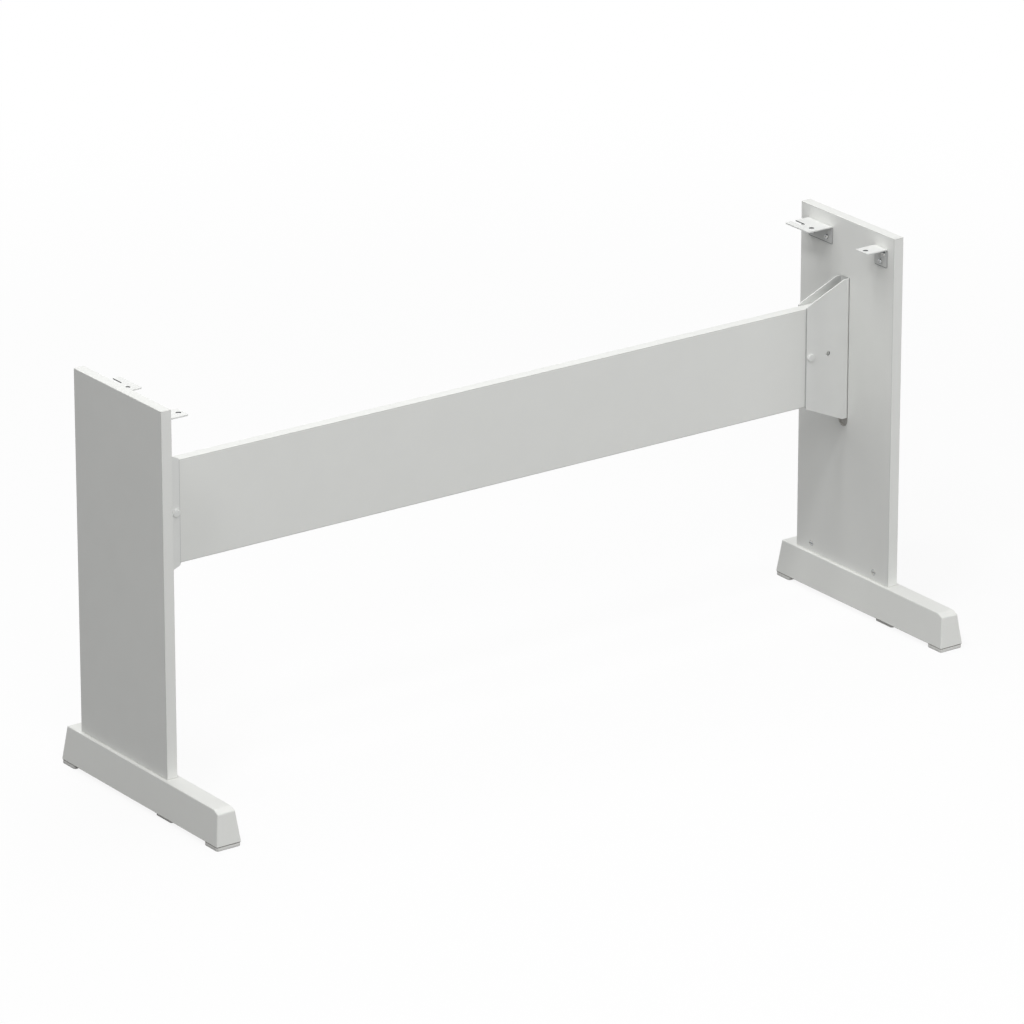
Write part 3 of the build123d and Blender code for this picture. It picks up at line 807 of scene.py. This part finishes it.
# %% [markdown]
# ## Flange nuts
# Behind each gusset a nut with its own washer takes the bolt. A real nut is cut from hexagon bar, and then
# its corners are turned off on a lathe, which leaves a curved bevel on each flat. Blender can do the same:
# the hexagon keeps only what lies inside a bevelled drum. Then the flange is added and the hole is bored.

# %% Flange nuts
nut_flats = 10.0 * mm
nut_height = 5.0 * mm
nut_bevel = 0.7 * mm
nut_hole = 3.2 * mm
flange_radius = 6.8 * mm
flange_height = 1.2 * mm

low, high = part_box("right_crosspiece_nut")
nut_corner = nut_flats / math.sqrt(3)
nut = add_drum(6, nut_corner, 0.0, nut_height)
turned = add_drum(60, nut_corner, -1 * mm, nut_height)
bpy.ops.object.mode_set(mode="EDIT")
select("EDGE", lambda middle, way: middle.z > 0.99 * nut_height and abs(way.z) < 0.1)
bpy.ops.mesh.bevel(offset=nut_bevel, segments=1, affect="EDGES")
select("FACE", lambda middle, way: way.z > 0.9)
bpy.ops.transform.resize(value=(0.96, 0.96, 1.0), center_override=(0, 0, nut_height))
bpy.ops.object.mode_set(mode="OBJECT")
cut(nut, turned, "INTERSECT")
flange = add_drum(60, flange_radius, 0.0, flange_height)
bpy.ops.object.mode_set(mode="EDIT")
select("EDGE", lambda middle, way: middle.z > 0.99 * flange_height and abs(way.z) < 0.1)
bpy.ops.mesh.bevel(offset=0.5 * mm, segments=3, affect="EDGES")
bpy.ops.object.mode_set(mode="OBJECT")
cut(nut, flange, "UNION")
bore = add_drum(bolt_sides, nut_hole, -1 * mm, nut_height + 1 * mm)
cut(nut, bore)
for side, sign in sides.items():
    place = (sign * (low.x + high.x) / 2, low.y, (low.z + high.z) / 2)
    piece = set_copies(nut, f"{side}_crosspiece_flange_nut", [place], (-math.pi / 2, 0, 0))
    hand_over(piece, f"{side}_crosspiece_nut", zinc_plate)
    made.append(piece.name)
bpy.data.objects.remove(nut)
print("nuts:", made[-2:])

# %% [markdown]
# ## Foot bolts and barrel nuts
# Each foot is drawn up against its panel by two socket-head bolts from below. They end in barrel nuts,
# short cross bars in the panel whose round ends show low on its inner face. The slot in that end lets the
# fitter turn the barrel until its hole lines up with the bolt. Socket, slot and hole are Boolean cuts, and
# the rims get the small bevel that a lathe leaves.

# %% Foot bolts and barrel nuts
foot_bolt_head = 5.0 * mm
foot_bolt_head_height = 6.0 * mm
socket_flats = 5.0 * mm
socket_depth = 3.0 * mm
foot_bolt_threaded = 24.0 * mm
foot_bolt_places = (-23.5 * mm, 135.5 * mm)
barrel_radius = 5.0 * mm
barrel_slot = 1.4 * mm
barrel_slot_depth = 1.5 * mm

low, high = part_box("right_foot_bolts")
column_x = (low.x + high.x) / 2
bearing_z = low.z + foot_bolt_head_height
foot_bolt_length = high.z - bearing_z
bolt = add_drum(bolt_sides, foot_bolt_head, 0.0, foot_bolt_head_height)
bpy.ops.object.mode_set(mode="EDIT")
select("EDGE", lambda middle, way: middle.z > 0.99 * foot_bolt_head_height and abs(way.z) < 0.1)
bpy.ops.mesh.bevel(offset=0.6 * mm, segments=3, affect="EDGES")
select("FACE", lambda middle, way: way.z < -0.9)
bpy.ops.mesh.inset(thickness=foot_bolt_head * math.cos(math.pi / bolt_sides) - bolt_shank)
bpy.ops.mesh.extrude_region_move(TRANSFORM_OT_translate={"value": (0, 0, -foot_bolt_length)})
thread(
    foot_bolt_threaded - foot_bolt_length, thread_end - foot_bolt_length,
    bolt_root, bolt_pitch, bolt_shank)
bpy.ops.object.mode_set(mode="OBJECT")
socket = add_drum(
    6, socket_flats / math.sqrt(3), foot_bolt_head_height - socket_depth, foot_bolt_head_height + 1 * mm)
cut(bolt, socket)
for side, sign in sides.items():
    spots = [(sign * column_x, y, bearing_z) for y in foot_bolt_places]
    piece = set_copies(bolt, f"{side}_foot_socket_bolts", spots, (math.pi, 0, 0))
    hand_over(piece, f"{side}_foot_bolts", zinc_plate)
    made.append(piece.name)
bpy.data.objects.remove(bolt)

low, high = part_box("right_barrel_nuts")
barrel_length = high.x - low.x
barrel_z = (low.z + high.z) / 2
barrel = add_drum(bolt_sides, barrel_radius, -barrel_length, 0.0)
bpy.ops.object.mode_set(mode="EDIT")
select("EDGE", lambda middle, way: abs(way.z) < 0.1)
bpy.ops.mesh.bevel(offset=0.4 * mm, segments=3, affect="EDGES")
bpy.ops.object.mode_set(mode="OBJECT")
slot_tool = add_block(
    (-barrel_slot / 2, -2 * barrel_radius, -barrel_slot_depth),
    (barrel_slot / 2, 2 * barrel_radius, 1 * mm))
cut(barrel, slot_tool)
hole_tool = add_drum(bolt_sides, nut_hole, -2 * barrel_radius, 2 * barrel_radius)
bpy.ops.object.mode_set(mode="EDIT")
bpy.ops.mesh.select_all(action="SELECT")
bpy.ops.transform.rotate(value=math.pi / 2, orient_axis="Y", center_override=(0, 0, 0))
bpy.ops.transform.translate(value=(0, 0, low.x - column_x))
bpy.ops.object.mode_set(mode="OBJECT")
cut(barrel, hole_tool)
for side, sign in sides.items():
    spots = [(sign * low.x, y, barrel_z) for y in foot_bolt_places]
    piece = set_copies(barrel, f"{side}_slotted_barrel_nuts", spots, (0, -sign * math.pi / 2, 0))
    hand_over(piece, f"{side}_barrel_nuts", zinc_plate)
    made.append(piece.name)
bpy.data.objects.remove(barrel)
print("foot joints:", made[-4:])

# %% [markdown]
# ## Fluted dowels
# Wooden pegs keep foot and panel in line while the bolts are tightened. They have shallow flutes for the
# air and the glue, and bevelled ends that find the bore. Every third edge of a plain drum is drawn in
# towards the middle, which makes the flutes.

# %% Fluted dowels
dowel_radius = 4.0 * mm
dowel_places = (16.5 * mm, 95.5 * mm)
dowel_bevel = 0.9 * mm
flutes = 12
flute_share = 0.92


def on_flute(middle, way):
    """Every third corner around the peg."""
    turn = math.atan2(middle.y, middle.x) / (2 * math.pi)
    return round(turn * 3 * flutes) % 3 == 0


low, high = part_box("right_dowels")
dowel_length = high.z - low.z
peg = add_drum(3 * flutes, dowel_radius, 0.0, dowel_length)
bpy.ops.object.mode_set(mode="EDIT")
select("VERT", on_flute)
bpy.ops.transform.resize(value=(flute_share, flute_share, 1.0), center_override=(0, 0, 0))
select("EDGE", lambda middle, way: abs(way.z) < 0.1)
bpy.ops.mesh.bevel(offset=dowel_bevel, segments=2, affect="EDGES")
bpy.ops.object.mode_set(mode="OBJECT")
for side, sign in sides.items():
    spots = [(sign * column_x, y, low.z) for y in dowel_places]
    piece = set_copies(peg, f"{side}_fluted_dowels", spots, (0, 0, 0))
    hand_over(piece, f"{side}_dowels", beech)
    made.append(piece.name)
bpy.data.objects.remove(peg)
print("dowels:", made[-2:])

# %% [markdown]
# ## Moulded pads
# Three pads under each foot keep it off the floor. Each is a thin block of rubber with round corners and
# soft rims. Its underside, seen only when the stand is tipped over, is moulded with a row of grooves that
# grip the floor. The underside is inset to keep a closed rim, sliced into strips with bisect, and every
# second strip is pushed up into the pad.

# %% Moulded pads
pad_corner = 4.0 * mm
pad_rim = 0.8 * mm
pad_border = 4.0 * mm
groove_step = 2.6 * mm
groove_depth = 1.2 * mm


def moulded_pad(low, high, name):
    """A rubber pad between two corners, with rounded corners, soft rims and a grooved underside."""
    pad = add_block(low, high)
    pad.name = name
    pad.data.name = name
    bpy.ops.object.mode_set(mode="EDIT")
    select("EDGE", lambda middle, way: abs(way.z) > 0.99)
    bpy.ops.mesh.bevel(offset=pad_corner, segments=6, affect="EDGES")
    select("EDGE", lambda middle, way: abs(way.z) < 0.1)
    bpy.ops.mesh.bevel(offset=pad_rim, segments=3, affect="EDGES")
    select("FACE", lambda middle, way: way.z < -0.99)
    bpy.ops.mesh.inset(thickness=pad_border - pad_rim)
    start = low.y + pad_border
    run = high.y - low.y - 2 * pad_border
    strips = 2 * int(run / groove_step / 2) + 1
    step = run / strips

    def in_field(middle, way):
        across = min(middle.x - low.x, high.x - middle.x)
        along = min(middle.y - low.y, high.y - middle.y)
        return way.z < -0.99 and across > pad_border and along > pad_border

    for k in range(1, strips):
        select("FACE", in_field)
        bpy.ops.mesh.bisect(plane_co=(0, start + k * step, 0), plane_no=(0, 1, 0))
    select("FACE", lambda middle, way: in_field(middle, way) and int((middle.y - start) / step) % 2 == 1)
    bpy.ops.mesh.extrude_region_move(TRANSFORM_OT_translate={"value": (0, 0, groove_depth)})
    bpy.ops.object.mode_set(mode="OBJECT")
    return pad


for side in sides:
    for kind in ("front_pad", "middle_pad", "rear_pad"):
        low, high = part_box(f"{side}_{kind}")
        piece = moulded_pad(low, high, f"{side}_{kind}_grooved")
        hand_over(piece, f"{side}_{kind}", pad_rubber)
        made.append(piece.name)
print("pads:", made[-6:])

# %% Count of the modelled pieces
print("pieces modelled here:", len(made))
